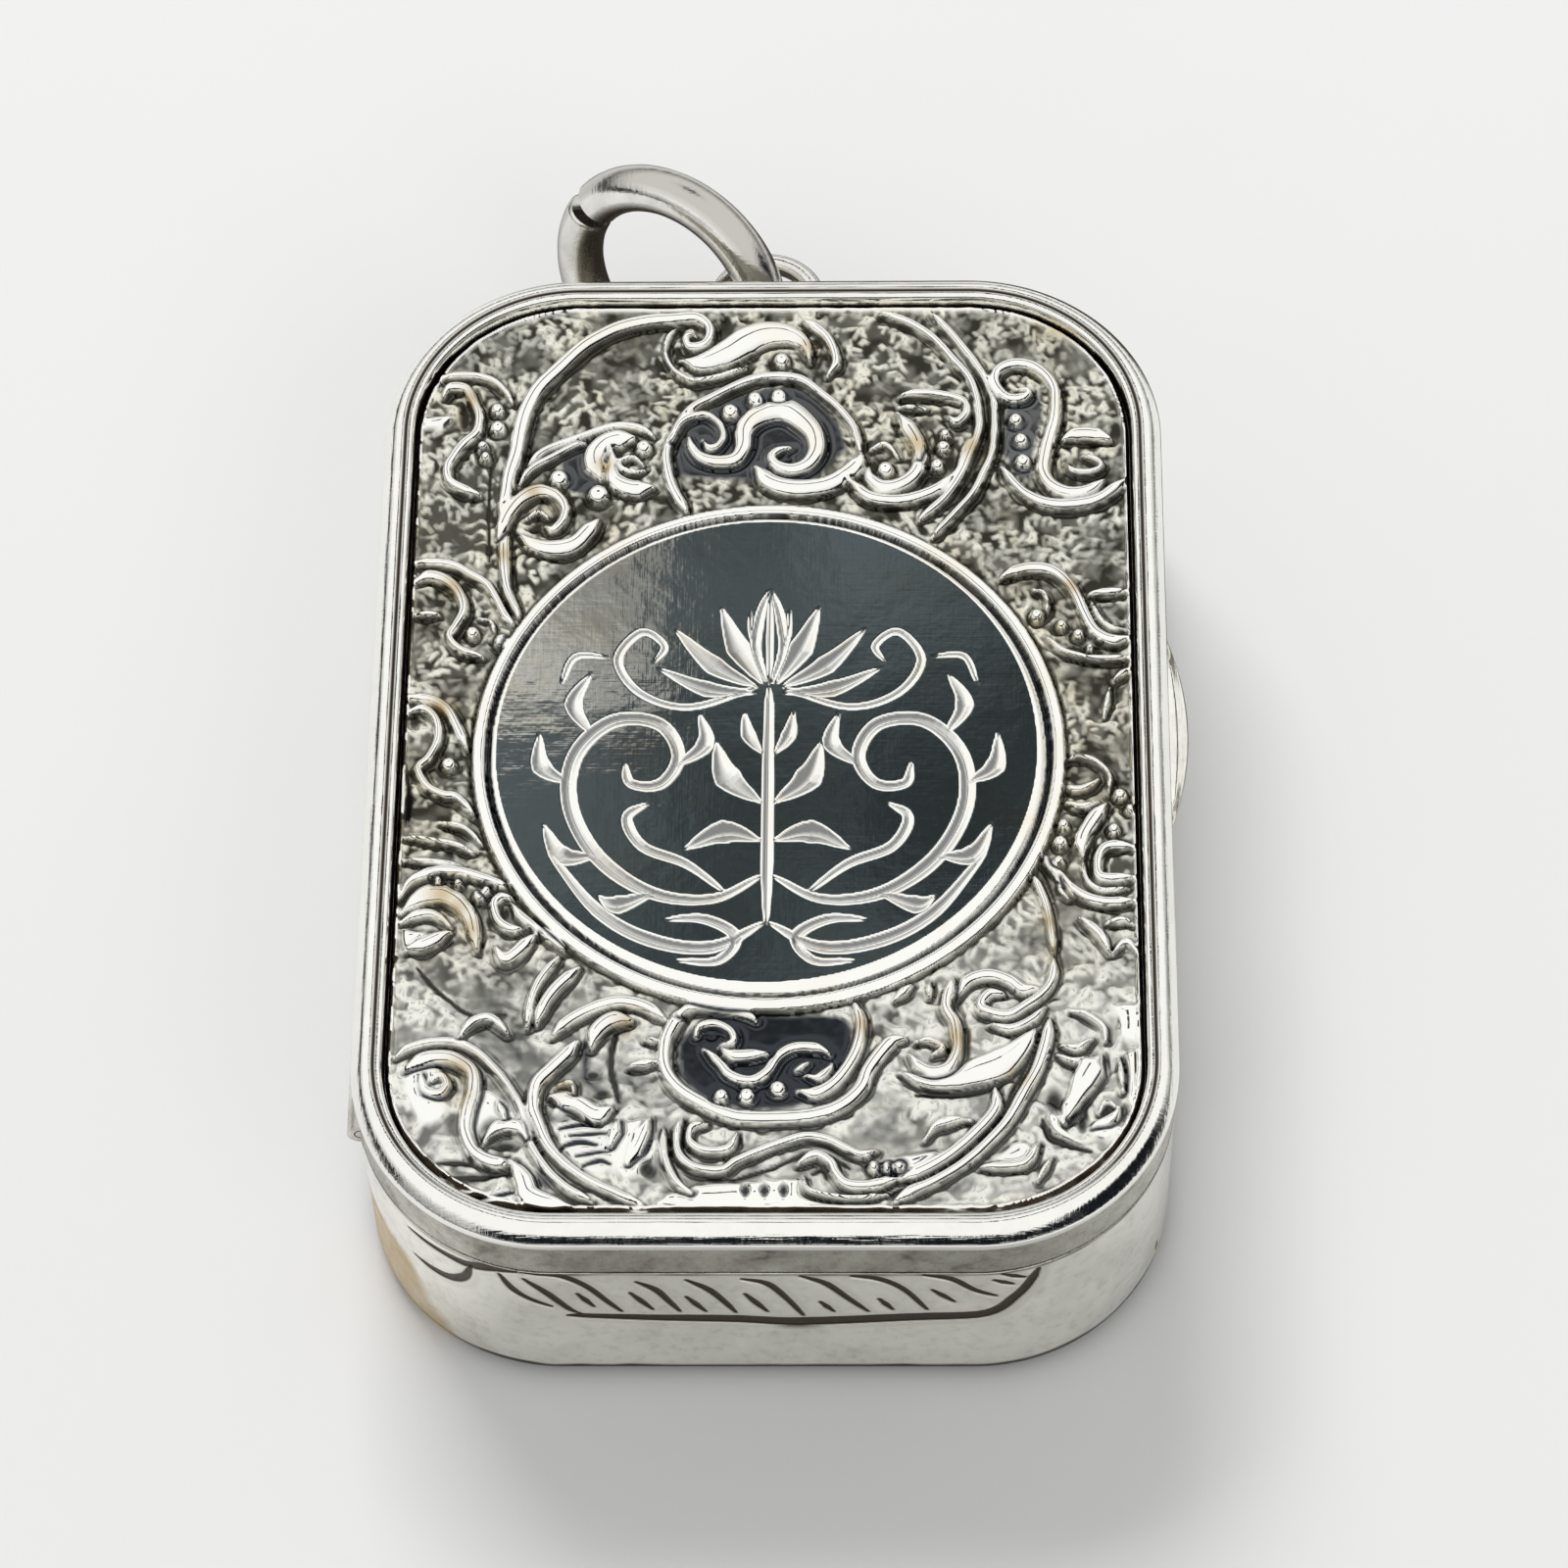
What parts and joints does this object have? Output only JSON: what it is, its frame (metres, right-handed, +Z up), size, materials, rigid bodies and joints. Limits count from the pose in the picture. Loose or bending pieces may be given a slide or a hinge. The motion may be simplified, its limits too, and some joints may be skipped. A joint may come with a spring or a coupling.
{
  "type": "vinaigrette",
  "caption": "Small rectangular silver box with rounded corners, a hinged chased lid, a hinged pierced gilt grille over a sponge, and a split jump ring in a fixed loop on one short end.",
  "frame": {"origin": "middle of the flat underside of the base", "axes": "+Z up through the lid, +Y towards the short end that carries the loop and the jump ring, +X towards the long side with the thumbpiece, hinges at -X"},
  "size_m": [0.0249, 0.0398, 0.0089],
  "materials": {
    "silver": "polished silver, softly worn",
    "chased_silver": "chased silver with an oxidised matted ground",
    "gilt": "gilt silver, satin",
    "sponge": "dry natural sponge"
  },
  "bodies": {
    "case": {"base_plate": "silver", "case_wall": "silver", "grille_ledge": "gilt", "case_collar": "gilt", "hinge_pin": "silver", "grille_pin": "gilt", "grille_knuckle_case_1": "gilt", "grille_knuckle_case_2": "gilt", "suspension_loop": "silver", "sponge": "sponge", "hinge_knuckle_case_1": "silver", "hinge_knuckle_case_2": "silver", "hinge_knuckle_case_3": "silver"},
    "lid": {"lid_band": "silver", "lid_rim": "silver", "lid_panel": "chased_silver", "thumbpiece": "silver", "hinge_knuckle_lid_1": "silver", "hinge_knuckle_lid_2": "silver"},
    "grille": {"grille_plate": "gilt", "grille_frame": "gilt", "grille_knuckle": "gilt", "grille_tab": "gilt"},
    "ring": {"jump_ring": "silver"}
  },
  "joints": [
    {"name": "lid_hinge", "type": "hinge", "parent": "case", "child": "lid", "pos_m": [-0.0118, 0, 0.0066], "axis": [0, -1, 0], "range_deg": [0, 110]},
    {"name": "grille_hinge", "type": "hinge", "parent": "case", "child": "grille", "pos_m": [-0.01038, 0, 0.00701], "axis": [0, -1, 0], "range_deg": [0, 85]},
    {"name": "ring_swing", "type": "hinge", "parent": "case", "child": "ring", "pos_m": [-0.00044, 0.01842, 0.0056], "axis": [0.1763, -0.4113, -0.8943], "range_deg": [0, 120]}
  ],
  "couplings": [
    {"joint": "grille_hinge", "follows": "lid_hinge", "ratio": 0.75}
  ]
}
